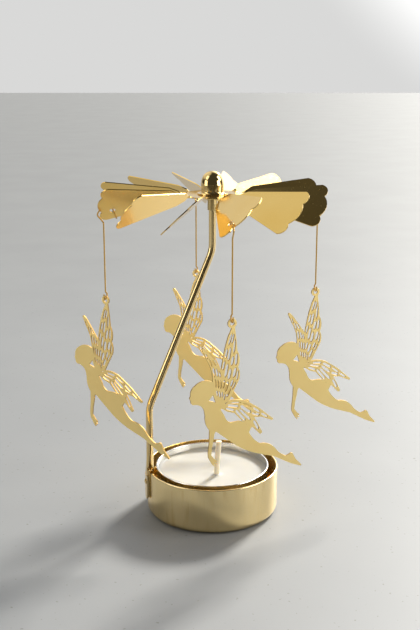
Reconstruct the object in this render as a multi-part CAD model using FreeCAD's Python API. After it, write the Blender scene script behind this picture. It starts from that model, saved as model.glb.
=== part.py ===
import FreeCAD, Part
import math
import os

# Angel chime carousel: a tealight cup carries a bent post at its rim. A needle on
# the post carries a pinwheel of twelve pitched blades, which rising warm air turns.
# Four flat pierced fairies hang from the pinwheel on wire hooks.
# Millimetres. Origin at the centre of the cup's underside, +Z up, front towards -Y.

os.makedirs("parts", exist_ok=True)

# Driving dimensions
overrun = 1.0
running_gap = 0.05

tealight_radius = 19.5
tealight_height = 15.5
tealight_wall = 0.25
tealight_bead_radius = 0.35
tealight_foot_radius = 16.0
tealight_foot_rise = 0.4

cup_candle_gap = 2.55
cup_wall = 0.6
cup_radius = tealight_radius + tealight_bead_radius + cup_candle_gap + cup_wall
cup_height = 16.0
cup_corner_radius = 2.2
cup_lip_radius = 0.2

wax_depth_below_rim = 2.5
wax_meniscus_rise = 0.35
wax_meniscus_width = 1.6

wick_radius = 0.85
wick_shift_x = 1.55
wick_shift_y = -4.0
wick_height_above_wax = 12.4
wick_straight_above_wax = 1.5
wick_lean = 0.75
wick_bend_radius = 3.0

sustainer_radius = 6.0
sustainer_plate = 0.25
sustainer_neck_height = 2.6
sustainer_neck_wall = 0.25

post_azimuth = 194.0
post_radius = 1.2
post_wall = 0.42
post_seam = 0.3
post_foot_inset = 0.7
post_foot_radius = cup_radius - post_foot_inset
post_top_height = 108.2
post_neck_length = 15.4
post_upper_corner_height = post_top_height - post_neck_length
post_leg_length = 23.0
post_lower_corner_height = cup_height + post_leg_length
post_bend_radius = 12.0

tongue_width = 4.2
tongue_thickness = 0.48
tongue_set_down = 1.6
tongue_length = 9.1
tongue_top_height = cup_height - tongue_set_down
tongue_bottom_height = tongue_top_height - tongue_length
inner_leg_depth = 3.2
slot_taper_height = 9.0
strip_rise = 5.0
strip_wall = 0.65
strip_top_width = 0.8
strip_foot_width = 2.7
strip_foot_lap = 0.5

clip_thickness = 0.35
clip_pad_set_down = 0.6
clip_pad_set_up = 1.3
clip_pad_height = tongue_bottom_height + clip_pad_set_up
clip_arm_width = 1.5
clip_arm_offset = 2.2
clip_arm_lap = 1.2
clip_arch_rise = 0.75
clip_arch_bend = 0.45
clip_inner_depth = 1.1
clip_lip_set_in = 0.8
clip_lip_reach = 1.45
clip_lip_rise = 1.6
clip_lip_bend = 0.35

rivet_set_down = 4.2
rivet_height = cup_height - rivet_set_down
rivet_radius = 0.6
rivet_head_radius = 1.05
rivet_head_height = 0.45
rivet_tail_height = 0.35

collar_radius = 1.62
collar_skirt = 1.9
collar_length = 4.1

needle_radius = 0.8
needle_cone_length = 2.6
needle_tip_radius = 0.12

rotor_clearance = 0.99
rotor_sheet = 0.35
hub_radius = 10.4
hub_bore_radius = 1.6

blade_count = 12
blade_first_azimuth = -15.96
blade_pitch = 42.9
blade_droop = 5.15
blade_root_gap = 0.6
blade_neck_length = 1.1
blade_neck_width = 2.6
blade_neck_lap = 0.2
blade_neck_sheet = 0.33
blade_shoulder_reach = 14.0
blade_shoulder_width = 6.6
blade_outer_width = 17.0
blade_side_reach = 34.9
blade_notch_rise = 1.7
blade_middle_rise = 3.3
blade_lobe_rise = 2.3
blade_notch_offset = 4.05
blade_lobe_offset = 6.7
blade_hole_radius = 1.1
blade_hole_inset = 1.8
blade_hole_reach = blade_side_reach - blade_hole_inset
blade_hole_offset = 3.4

dome_radius = 3.8
dome_height = 7.65
dome_wall = 0.35
dome_flange_radius = 5.0
dome_flange_thickness = 0.45
dome_flare_radius = 0.5

tab_count = 3
tab_first_azimuth = -48.0
tab_width = 1.6
tab_thickness = 0.32
tab_reach = 4.35
tab_foot_reach = 6.9
tab_drop = 0.62
tab_bend_radius = 0.4
tab_slot_gap = 0.15

bearing_radius = 1.9
bearing_length = 2.3
bearing_dimple_radius = 0.55
bearing_dimple_depth = 0.8

hanger_wire_radius = 0.25
hanger_bend_radius = 0.85
hanger_eye_radius = 0.78
hanger_eye_height = 2.0
hanger_eye_bend_share = 0.999
hanger_tail_inset = 1.2
hanger_tail_drop = 2.9
hanger_over_reach = 0.25
hanger_over_rise = 0.85
hanger_crest_reach = 4.0
hanger_crest_rise = 0.5
hanger_bulge_reach = 5.2
hanger_bulge_drop = 1.5
hanger_line_reach = 3.09
hanger_line_drop = 4.1
hanger_length = 30.07
hanger_hang_gap = 0.16

ring_radius = 1.5
ring_hole_radius = 0.725

fairy_sheet = 0.45
fairy_width = 39.6
fairy_drop = 51.0

# The blade that each hanger hooks into, counted from the first one, and the way
# that its fairy faces, in degrees
pendants = {
    "right": (1, 20.7),
    "back": (4, -28.0),
    "left": (7, -33.0),
    "front": (10, 25.4),
}

up = FreeCAD.Vector(0, 0, 1)
centre = FreeCAD.Vector(0, 0, 0)


def vector(x, y, z):
    return FreeCAD.Vector(x, y, z)


def radial(azimuth):
    angle = math.radians(azimuth)
    return vector(math.cos(angle), math.sin(angle), 0)


def tangential(azimuth):
    angle = math.radians(azimuth)
    return vector(-math.sin(angle), math.cos(angle), 0)


def outline(steps):
    # A step is one point for a straight edge, or two points for an arc through the
    # first of them. The outline closes on its own first point.
    edges = []
    here = steps[0][-1]
    for step in steps[1:] + steps[:1]:
        there = step[-1]
        if len(step) == 2:
            edges.append(Part.Arc(here, step[0], there).toShape())
        elif here.distanceToPoint(there) > 0:
            edges.append(Part.LineSegment(here, there).toShape())
        here = there
    return Part.Wire(edges)


def turned(steps):
    # Turn a half profile, given as (radius, height) pairs, about the vertical axis.
    profile = [[vector(r, 0, z) for r, z in step] for step in steps]
    return Part.Face(outline(profile)).revolve(centre, up, 360)


def cap_arc(radius, base, height):
    # The last step of a half profile: a round cap centred on the axis.
    sphere = (radius ** 2 + height ** 2) / (2 * height)
    half_angle = math.asin(radius / sphere) / 2
    middle_height = base + height - sphere * (1 - math.cos(half_angle))
    return [(sphere * math.sin(half_angle), middle_height), (0, base + height)]


def bent_path(points, radii):
    # Straight runs joined by tangent arcs, one radius for each inner point.
    edges = []
    here = points[0]
    for before, corner, after, radius in zip(points, points[1:], points[2:], radii):
        way_in = (corner - before).normalize()
        way_out = (after - corner).normalize()
        turn = way_in.getAngle(way_out)
        trim = radius * math.tan(turn / 2)
        arc_start = corner - way_in * trim
        arc_end = corner + way_out * trim
        inward = (way_out - way_in).normalize()
        arc_middle = corner + inward * (radius / math.cos(turn / 2) - radius)
        edges.append(Part.LineSegment(here, arc_start).toShape())
        edges.append(Part.Arc(arc_start, arc_middle, arc_end).toShape())
        here = arc_end
    edges.append(Part.LineSegment(here, points[-1]).toShape())
    return Part.Wire(edges)


def round_wire(path, radius):
    first = path.Edges[0]
    start = first.valueAt(first.FirstParameter)
    heading = first.tangentAt(first.FirstParameter)
    section = Part.Wire([Part.makeCircle(radius, start, heading)])
    return path.makePipeShell([section], True, False)


def make_cup_shell():
    # Spun sheet cup: flat floor, rounded foot, plain wall and a softened lip.
    inner_radius = cup_radius - cup_wall
    inner_corner = cup_corner_radius - cup_wall
    diagonal = math.sqrt(0.5)
    lip_low = cup_height - cup_lip_radius
    shell = turned([
        [(0, 0)],
        [(cup_radius - cup_corner_radius, 0)],
        [(cup_radius - cup_corner_radius * (1 - diagonal), cup_corner_radius * (1 - diagonal)),
         (cup_radius, cup_corner_radius)],
        [(cup_radius, lip_low)],
        [(cup_radius - cup_lip_radius * (1 - diagonal), lip_low + cup_lip_radius * diagonal),
         (cup_radius - cup_lip_radius, cup_height)],
        [(inner_radius + cup_lip_radius, cup_height)],
        [(inner_radius + cup_lip_radius * (1 - diagonal), lip_low + cup_lip_radius * diagonal),
         (inner_radius, lip_low)],
        [(inner_radius, cup_corner_radius)],
        [(inner_radius - inner_corner * (1 - diagonal), cup_corner_radius - inner_corner * diagonal),
         (inner_radius - inner_corner, cup_wall)],
        [(0, cup_wall)],
    ])
    hole = Part.makeCylinder(rivet_radius + running_gap, cup_wall + 2 * overrun,
                             radial(post_azimuth) * (inner_radius - overrun) + up * rivet_height,
                             radial(post_azimuth))
    return shell.cut(hole)


# The tealight stands loose on the cup's floor.
tealight_base = cup_wall + running_gap
tealight_rim = tealight_base + tealight_height
tealight_floor = tealight_base + tealight_foot_rise + tealight_wall
wax_top = tealight_rim - wax_depth_below_rim
wick_shift = vector(wick_shift_x, wick_shift_y, 0)


def make_tealight_shell():
    # Drawn aluminium cup with a dished floor and a rolled bead at the rim.
    inner_radius = tealight_radius - tealight_wall
    ledge = tealight_foot_radius + tealight_foot_rise
    bead_low = tealight_rim - 2 * tealight_bead_radius
    bead_middle = tealight_rim - tealight_bead_radius
    return turned([
        [(0, tealight_base + tealight_foot_rise)],
        [(tealight_foot_radius, tealight_base + tealight_foot_rise)],
        [(ledge, tealight_base)],
        [(tealight_radius, tealight_base)],
        [(tealight_radius, bead_low)],
        [(tealight_radius + tealight_bead_radius, bead_middle), (tealight_radius, tealight_rim)],
        [(inner_radius, tealight_rim)],
        [(inner_radius, tealight_base + tealight_wall)],
        [(ledge, tealight_base + tealight_wall)],
        [(tealight_foot_radius, tealight_floor)],
        [(0, tealight_floor)],
    ])


def make_wax():
    # Poured wax: it climbs the wall a little and is cast round wick and sustainer.
    edge = tealight_radius - tealight_wall - running_gap
    floor = tealight_floor + running_gap
    body = turned([
        [(0, floor)],
        [(edge, floor)],
        [(edge, wax_top + wax_meniscus_rise)],
        [(edge - wax_meniscus_width / 4, wax_top + wax_meniscus_rise / 4),
         (edge - wax_meniscus_width, wax_top)],
        [(0, wax_top)],
    ])
    plate = Part.makeCylinder(sustainer_radius + running_gap, sustainer_plate + running_gap,
                              wick_shift + up * floor)
    neck_radius = wick_radius + running_gap + sustainer_neck_wall
    neck = Part.makeCylinder(neck_radius + running_gap, sustainer_neck_height + running_gap,
                             wick_shift + up * floor)
    bore = Part.makeCylinder(wick_radius + running_gap, tealight_height, wick_shift + up * floor)
    return body.cut(plate).cut(neck).cut(bore)


def make_wick_sustainer():
    # Stamped tin disc with a neck that grips the wick.
    base = wick_shift + up * (tealight_floor + running_gap)
    neck_radius = wick_radius + running_gap + sustainer_neck_wall
    plate = Part.makeCylinder(sustainer_radius, sustainer_plate, base)
    neck = Part.makeCylinder(neck_radius, sustainer_neck_height, base)
    bore = Part.makeCylinder(wick_radius + running_gap, sustainer_neck_height + overrun,
                             base + up * sustainer_plate)
    return plate.fuse(neck).removeSplitter().cut(bore)


def make_wick():
    # Waxed cord that stands up and leans a little at the top.
    foot = wick_shift + up * (tealight_floor + running_gap + sustainer_plate)
    bend = wick_shift + up * (wax_top + wick_straight_above_wax)
    tip = wick_shift + vector(wick_lean, 0, wax_top + wick_height_above_wax)
    return round_wire(bent_path([foot, bend, tip], [wick_bend_radius]), wick_radius)


def post_point(reach, height):
    return radial(post_azimuth) * reach + up * height


def post_plane_face(points):
    # A face in the post's own plane, from (reach, height) pairs.
    return Part.Face(outline([[post_point(r, z)] for r, z in points]))


def rim_shell(inner, outer, low, high, width):
    # A patch of upright cylinder wall round the cup's axis, centred on the post.
    ring = Part.makeCylinder(outer, high - low, up * low)
    ring = ring.cut(Part.makeCylinder(inner, high - low + 2 * overrun, up * (low - overrun)))
    side = tangential(post_azimuth)
    block_length = outer + overrun
    corner = side * (-width / 2) + up * (low - overrun)
    frame = FreeCAD.Matrix(
        radial(post_azimuth).x, side.x, 0, corner.x,
        radial(post_azimuth).y, side.y, 0, corner.y,
        0, 0, 1, corner.z,
        0, 0, 0, 1)
    block = Part.makeBox(block_length, width, high - low + 2 * overrun)
    block.Placement = FreeCAD.Placement(frame)
    return ring.common(block)


tongue_inner = cup_radius + 2 * running_gap + clip_thickness
tongue_outer = tongue_inner + tongue_thickness


def strip_section(inner, outer, width, height):
    half = tangential(post_azimuth) * (width / 2)
    near = post_point(inner, height)
    far = post_point(outer, height)
    return outline([[near - half], [near + half], [far + half], [far - half]])


def make_mast():
    # Strip rolled into a tube with its seam to one side. The seam opens at the foot,
    # so the cup's rim stands between a short inner leg and an outer strip, which
    # runs down into a round-ended tongue.
    side = tangential(post_azimuth)
    points = [
        post_point(0, post_top_height),
        post_point(0, post_upper_corner_height),
        post_point(post_foot_radius, post_lower_corner_height),
        post_point(post_foot_radius, cup_height - inner_leg_depth),
    ]
    path = bent_path(points, [post_bend_radius, post_bend_radius])
    start = points[0]
    outward = radial(post_azimuth)
    inner = post_radius - post_wall
    half_seam = post_seam / 2
    outer_lip = math.sqrt(post_radius ** 2 - half_seam ** 2)
    inner_lip = math.sqrt(inner ** 2 - half_seam ** 2)
    section = outline([
        [start + outward * half_seam + side * outer_lip],
        [start - side * post_radius, start - outward * half_seam + side * outer_lip],
        [start - outward * half_seam + side * inner_lip],
        [start - side * inner, start + outward * half_seam + side * inner_lip],
    ])
    tube = path.makePipeShell([section], True, False)
    slot_inner = cup_radius - cup_wall - running_gap
    slot_outer = cup_radius + running_gap
    slot_top = cup_height + running_gap
    tube_skin = post_foot_radius + post_radius
    slot = post_plane_face([
        (slot_inner, cup_height - inner_leg_depth - overrun),
        (tube_skin + overrun, cup_height - inner_leg_depth - overrun),
        (tube_skin + overrun, slot_top),
        (slot_inner, slot_top),
    ]).extrude(side * 2 * (post_radius + overrun))
    slot.translate(side * -(post_radius + overrun))
    flare = post_plane_face([
        (slot_inner, cup_height),
        (slot_outer, cup_height),
        (post_foot_radius + half_seam, cup_height + slot_taper_height),
        (post_foot_radius - half_seam, cup_height + slot_taper_height),
    ]).extrude(side * (post_radius + overrun))
    tongue = rim_shell(tongue_inner, tongue_outer, tongue_bottom_height, tongue_top_height,
                       tongue_width)
    trim = Part.makeCylinder(tongue_width / 2, 2 * cup_radius,
                             up * (tongue_bottom_height + tongue_width / 2), outward)
    keep = rim_shell(cup_radius, tongue_outer + overrun,
                     tongue_bottom_height + tongue_width / 2, tongue_top_height + overrun,
                     tongue_width)
    tongue = tongue.common(trim.fuse(keep))
    strip = Part.makeLoft([
        strip_section(tube_skin - strip_wall, tube_skin - running_gap,
                      strip_top_width, cup_height + strip_rise),
        strip_section(tongue_inner + running_gap, tongue_outer - running_gap,
                      strip_foot_width, tongue_top_height - strip_foot_lap),
    ], True, True)
    mast = tube.cut(slot).cut(flare).multiFuse([strip, tongue])
    hole = Part.makeCylinder(rivet_radius + running_gap, 2 * overrun + tongue_thickness,
                             post_point(tongue_inner - overrun, rivet_height), outward)
    return mast.cut(hole)


def make_rim_clip():
    # Spring strip under the tongue: its arm hooks over the rim beside the post, and the
    # arm's end is turned up again as a lip.
    inner = cup_radius + running_gap
    outer = inner + clip_thickness
    pad_top = tongue_top_height - clip_pad_set_down
    pad = rim_shell(inner, outer, clip_pad_height, pad_top, tongue_width - 2 * running_gap)
    hole = Part.makeCylinder(rivet_radius + running_gap, 2 * overrun + clip_thickness,
                             post_point(inner - overrun, rivet_height), radial(post_azimuth))
    pad = pad.cut(hole)
    middle = inner + clip_thickness / 2
    inside = cup_radius - cup_wall - running_gap - clip_thickness / 2
    arm_low = pad_top - clip_arm_lap
    crest = cup_height + clip_arch_rise
    dip = cup_height - clip_inner_depth
    arm_path = bent_path([
        post_point(middle, arm_low),
        post_point(middle, crest),
        post_point(inside, crest),
        post_point(inside, dip),
        post_point(inside - clip_lip_set_in, dip),
        post_point(inside - clip_lip_reach, cup_height + clip_lip_rise),
    ], [clip_arch_bend, clip_arch_bend, clip_lip_bend, clip_lip_bend])
    across = tangential(post_azimuth) * clip_arm_width
    foot = post_point(inner, arm_low) - across / 2
    out = radial(post_azimuth) * clip_thickness
    section = outline([[foot], [foot + out], [foot + out + across], [foot + across]])
    arm = arm_path.makePipeShell([section], True, False)
    arm.rotate(centre, up, math.degrees(clip_arm_offset / middle))
    return pad.fuse(arm)


def make_mast_rivet():
    # Domed head outside the tongue, peened tail inside the cup.
    head_base = tongue_outer + running_gap
    tail_base = cup_radius - cup_wall - running_gap
    profile = [
        [(0, tail_base - rivet_tail_height)],
        [(rivet_head_radius, tail_base - rivet_tail_height)],
        [(rivet_head_radius, tail_base)],
        [(rivet_radius, tail_base)],
        [(rivet_radius, head_base)],
        [(rivet_head_radius, head_base)],
        cap_arc(rivet_head_radius, head_base, rivet_head_height),
    ]
    rivet = turned(profile)
    rivet.rotate(centre, vector(0, 1, 0), 90)
    rivet.rotate(centre, up, post_azimuth)
    rivet.translate(up * rivet_height)
    return rivet


collar_bottom = post_top_height - collar_skirt
collar_top = collar_bottom + collar_length


def make_collar():
    # Ferrule pressed on the post's top; its upper bore holds the needle.
    body = Part.makeCylinder(collar_radius, collar_length, up * collar_bottom)
    post_bore = Part.makeCylinder(post_radius + running_gap, collar_skirt, up * collar_bottom)
    needle_bore = Part.makeCylinder(needle_radius + running_gap, collar_length,
                                    up * post_top_height)
    return body.cut(post_bore).cut(needle_bore)


# The needle's round tip stands a running gap clear of the dimple's slope.
rotor_height = collar_top + rotor_clearance
rotor_top = rotor_height + rotor_sheet / 2
rotor_bottom = rotor_height - rotor_sheet / 2
dome_top = rotor_top + dome_height
bearing_base = dome_top - dome_wall - bearing_length
dimple_half_angle = math.atan(bearing_dimple_radius / bearing_dimple_depth)
tip_set_back = (needle_tip_radius + running_gap) / math.sin(dimple_half_angle) - needle_tip_radius
needle_tip = bearing_base + bearing_dimple_depth - tip_set_back


def make_needle():
    # Steel pin with a ground point that stands in the dome's bearing.
    cone_base = needle_tip - needle_cone_length
    return turned([
        [(0, post_top_height)],
        [(needle_radius, post_top_height)],
        [(needle_radius, cone_base)],
        [(needle_tip_radius, needle_tip - needle_tip_radius)],
        cap_arc(needle_tip_radius, needle_tip - needle_tip_radius, needle_tip_radius),
    ])


blade_root = hub_radius + blade_root_gap
blade_neck_end = hub_radius + blade_neck_length


def blade_point(reach, offset, lift):
    # A point of the blade that lies along +X, from its own plane: reach from the
    # axis, offset across the blade and lift square to the sheet.
    droop = math.radians(blade_droop)
    pitch = math.radians(blade_pitch)
    outward = vector(math.cos(droop), 0, -math.sin(droop))
    normal = vector(math.sin(droop), 0, math.cos(droop))
    aside = vector(0, 1, 0)
    across = aside * math.cos(pitch) + normal * math.sin(pitch)
    square = normal * math.cos(pitch) - aside * math.sin(pitch)
    root = vector(blade_root, 0, rotor_height)
    return root + outward * (reach - blade_root) + across * offset + square * lift


def make_blade(with_hole):
    # Scalloped vane: straight sides, three lobes at the end and a twisted neck.
    half_neck = blade_neck_width / 2
    half_shoulder = blade_shoulder_width / 2
    half_outer = blade_outer_width / 2
    lobe_reach = blade_side_reach + blade_lobe_rise
    notch_reach = blade_side_reach + blade_notch_rise
    middle_reach = blade_side_reach + blade_middle_rise
    plan = [
        [(blade_neck_end, -half_neck)],
        [(blade_shoulder_reach, -half_shoulder)],
        [(blade_side_reach, -half_outer)],
        [(lobe_reach, -blade_lobe_offset), (notch_reach, -blade_notch_offset)],
        [(middle_reach, 0), (notch_reach, blade_notch_offset)],
        [(lobe_reach, blade_lobe_offset), (blade_side_reach, half_outer)],
        [(blade_shoulder_reach, half_shoulder)],
        [(blade_neck_end, half_neck)],
    ]
    half_sheet = rotor_sheet / 2
    rise = blade_point(0, 0, rotor_sheet) - blade_point(0, 0, 0)
    steps = [[blade_point(s, t, -half_sheet) for s, t in step] for step in plan]
    blade = Part.Face(outline(steps)).extrude(rise)
    if with_hole:
        hole = Part.makeCylinder(blade_hole_radius, rotor_sheet + 2 * overrun,
                                 blade_point(blade_hole_reach, -blade_hole_offset, -half_sheet - overrun),
                                 rise)
        blade = blade.cut(hole)
    inner_reach = hub_radius - blade_neck_lap
    inner_half = blade_neck_sheet / 2
    inner_end = Part.makePolygon([
        vector(inner_reach, -half_neck, rotor_height - inner_half),
        vector(inner_reach, half_neck, rotor_height - inner_half),
        vector(inner_reach, half_neck, rotor_height + inner_half),
        vector(inner_reach, -half_neck, rotor_height + inner_half),
        vector(inner_reach, -half_neck, rotor_height - inner_half),
    ])
    outer_end = Part.makePolygon([
        blade_point(blade_neck_end, -half_neck, -half_sheet),
        blade_point(blade_neck_end, half_neck, -half_sheet),
        blade_point(blade_neck_end, half_neck, half_sheet),
        blade_point(blade_neck_end, -half_neck, half_sheet),
        blade_point(blade_neck_end, -half_neck, -half_sheet),
    ])
    neck = Part.makeLoft([inner_end, outer_end], True, True)
    return blade.fuse(neck)


def blade_azimuth(number):
    return blade_first_azimuth + number * 360 / blade_count


def make_rotor():
    # One stamping: hub disc and twelve blades, each pitched at its neck. The blades
    # that carry a hanger have a hole for its crook.
    hub = Part.makeCylinder(hub_radius, rotor_sheet, up * rotor_bottom)
    hub = hub.cut(Part.makeCylinder(hub_bore_radius, rotor_sheet + 2 * overrun,
                                    up * (rotor_bottom - overrun)))
    slot_depth = tab_thickness + 2 * tab_slot_gap
    slot_width = tab_width + 2 * tab_slot_gap
    for number in range(tab_count):
        slot = Part.makeBox(slot_depth, slot_width, rotor_sheet + 2 * overrun,
                            vector(tab_reach - slot_depth / 2, -slot_width / 2,
                                   rotor_bottom - overrun))
        slot.rotate(centre, up, tab_first_azimuth + number * 360 / tab_count)
        hub = hub.cut(slot)
    plain = make_blade(False)
    pierced = make_blade(True)
    carriers = [number for number, facing in pendants.values()]
    blades = []
    for number in range(blade_count):
        blade = (pierced if number in carriers else plain).copy()
        blade.rotate(centre, up, blade_azimuth(number))
        blades.append(blade)
    return hub.multiFuse(blades).removeSplitter()


def make_dome_cap():
    # Polished thimble over the bearing. Its flange rests on the hub disc and three
    # tabs pass through the disc and bend out under it.
    shoulder = dome_top - dome_radius
    inner = dome_radius - dome_wall
    diagonal = math.sqrt(0.5)
    flange_top = rotor_top + dome_flange_thickness
    flare_top = flange_top + dome_flare_radius
    dome = turned([
        [(inner, rotor_top)],
        [(dome_flange_radius, rotor_top)],
        [(dome_flange_radius, flange_top)],
        [(dome_radius + dome_flare_radius, flange_top)],
        [(dome_radius + dome_flare_radius * (1 - diagonal),
          flange_top + dome_flare_radius * (1 - diagonal)), (dome_radius, flare_top)],
        [(dome_radius, shoulder)],
        [(dome_radius * diagonal, shoulder + dome_radius * diagonal), (0, dome_top)],
        [(0, dome_top - dome_wall)],
        [(inner * diagonal, shoulder + inner * diagonal), (inner, shoulder)],
    ])
    tab_start = vector(tab_reach, 0, flange_top)
    tab_corner = vector(tab_reach, 0, rotor_bottom - tab_drop)
    tab_end = vector(tab_foot_reach, 0, rotor_bottom - tab_drop)
    path = bent_path([tab_start, tab_corner, tab_end], [tab_bend_radius])
    half = vector(tab_thickness / 2, 0, 0)
    side = vector(0, tab_width / 2, 0)
    section = outline([[tab_start - half - side], [tab_start + half - side],
                       [tab_start + half + side], [tab_start - half + side]])
    tab = path.makePipeShell([section], True, False)
    tabs = []
    for number in range(tab_count):
        copy = tab.copy()
        copy.rotate(centre, up, tab_first_azimuth + number * 360 / tab_count)
        tabs.append(copy)
    return dome.multiFuse(tabs).removeSplitter()


def make_bearing_cup():
    # Hard plug under the crown of the dome, with a dimple for the needle's point.
    shoulder = dome_top - dome_radius
    crown = dome_radius - dome_wall - running_gap
    top_edge = shoulder + math.sqrt(crown ** 2 - bearing_radius ** 2)
    half_radius = bearing_radius / 2
    half_edge = shoulder + math.sqrt(crown ** 2 - half_radius ** 2)
    return turned([
        [(0, bearing_base + bearing_dimple_depth)],
        [(bearing_dimple_radius, bearing_base)],
        [(bearing_radius, bearing_base)],
        [(bearing_radius, top_edge)],
        [(half_radius, half_edge), (0, shoulder + crown)],
    ])


# Each hanger hooks into its blade's hole, whose place on the blade along +X is this.
hook_hole = blade_point(blade_hole_reach, -blade_hole_offset, 0)
hook_radius = math.hypot(hook_hole.x, hook_hole.y)
hook_lead = math.degrees(math.atan2(hook_hole.y, hook_hole.x))
hanger_radius = hook_radius + hanger_line_reach
ring_height = hook_hole.z - hanger_length


def make_hanger_wire(azimuth, facing):
    # Bent from one wire: a crook goes up through the blade's hole and over its edge,
    # and an open eye at the foot passes through the fairy's ring.
    outward = radial(azimuth)
    through = tangential(facing)
    line = outward * hanger_radius
    hole = outward * hook_radius + up * hook_hole.z
    eye_low = ring_height + ring_hole_radius - hanger_wire_radius - hanger_hang_gap
    eye_top = eye_low + hanger_eye_radius + hanger_eye_height / 2
    eye_side = through * hanger_eye_radius
    points = [
        hole - outward * hanger_tail_inset - up * hanger_tail_drop,
        hole + outward * hanger_over_reach + up * hanger_over_rise,
        hole + outward * hanger_crest_reach + up * hanger_crest_rise,
        hole + outward * hanger_bulge_reach - up * hanger_bulge_drop,
        line + up * (hook_hole.z - hanger_line_drop),
        line + up * (eye_top + hanger_eye_radius),
        line + eye_side + up * eye_top,
        line + eye_side + up * eye_low,
        line - eye_side + up * eye_low,
        line - eye_side + up * eye_top,
    ]
    shoulder = hanger_eye_radius / 2
    eye_bend = hanger_eye_radius * hanger_eye_bend_share
    radii = 4 * [hanger_bend_radius] + 2 * [shoulder] + 2 * [eye_bend]
    return round_wire(bent_path(points, radii), hanger_wire_radius)


# The fairy is drawn in shares of its width, to the right, and of its drop below the
# ring, downwards. A step with two points is an arc through the first of them.
broad_wing_shares = [
    [(0.002, 0.020)], [(-0.034, 0.077)], [(-0.068, 0.170), (-0.094, 0.285)], [(-0.100, 0.360)],
    [(-0.100, 0.440)], [(-0.085, 0.500)], [(-0.028, 0.488)], [(0.017, 0.422)], [(0.058, 0.365)],
    [(0.068, 0.322), (0.053, 0.278)], [(0.065, 0.222), (0.044, 0.171)], [(0.035, 0.097)],
    [(0.022, 0.020)],
]
narrow_wing_shares = [
    [(-0.240, 0.131)], [(-0.252, 0.132), (-0.255, 0.144)], [(-0.216, 0.207)],
    [(-0.182, 0.263), (-0.167, 0.345)], [(-0.155, 0.430)], [(-0.091, 0.500)], [(-0.051, 0.485)],
    [(-0.028, 0.351)], [(-0.091, 0.281)], [(-0.142, 0.227)], [(-0.211, 0.153)],
]
body_shares = [
    [(-0.160, 0.352)], [(-0.237, 0.334), (-0.313, 0.356)], [(-0.346, 0.382), (-0.355, 0.417)],
    [(-0.363, 0.434)], [(-0.354, 0.447)], [(-0.350, 0.466)], [(-0.334, 0.477)],
    [(-0.275, 0.488), (-0.240, 0.522)], [(-0.232, 0.560)], [(-0.229, 0.600), (-0.212, 0.634)],
    [(-0.194, 0.656)], [(-0.196, 0.730)], [(-0.206, 0.806)], [(-0.203, 0.834)],
    [(-0.184, 0.861)], [(-0.167, 0.884)], [(-0.148, 0.899)], [(-0.143, 0.894)],
    [(-0.158, 0.878)], [(-0.131, 0.886)], [(-0.128, 0.880)], [(-0.148, 0.870)],
    [(-0.126, 0.868)], [(-0.128, 0.862)], [(-0.154, 0.844)], [(-0.179, 0.819)],
    [(-0.173, 0.772)], [(-0.158, 0.717)], [(-0.151, 0.683)], [(-0.140, 0.668)],
    [(0.051, 0.789)],
    [(0.130, 0.826), (0.222, 0.859)], [(0.381, 0.901)], [(0.541, 0.971)], [(0.636, 1.002)],
    [(0.646, 0.995)], [(0.588, 0.948)], [(0.565, 0.914)], [(0.549, 0.902), (0.529, 0.906)],
    [(0.497, 0.914)], [(0.452, 0.894), (0.404, 0.857)], [(0.336, 0.812), (0.256, 0.798)],
    [(0.200, 0.763), (0.154, 0.710)], [(0.185, 0.668)], [(0.150, 0.655)], [(0.131, 0.657)],
    [(0.085, 0.629), (0.034, 0.626)], [(-0.011, 0.625)], [(-0.049, 0.602), (-0.063, 0.577)],
    [(-0.097, 0.534)], [(-0.060, 0.495)], [(-0.150, 0.430)],
]
upper_tail_wing_shares = [
    [(-0.090, 0.522)], [(-0.028, 0.484)], [(0.065, 0.486), (0.154, 0.515)], [(0.245, 0.562)],
    [(0.360, 0.640)], [(0.369, 0.651), (0.355, 0.655)], [(0.313, 0.640)], [(0.267, 0.623)],
    [(0.199, 0.617)], [(0.080, 0.560)],
]
lower_tail_wing_shares = [
    [(-0.080, 0.495)], [(0.150, 0.560)], [(0.199, 0.617)], [(0.233, 0.663)], [(0.268, 0.715)],
    [(0.264, 0.732), (0.244, 0.727)], [(0.199, 0.690)], [(0.131, 0.655)], [(0.074, 0.613)],
    [(0.023, 0.569)], [(-0.040, 0.553)], [(-0.085, 0.530)],
]
neck_gap_shares = [[(-0.200, 0.465)], [(-0.163, 0.430)], [(-0.140, 0.482)]]

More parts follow.
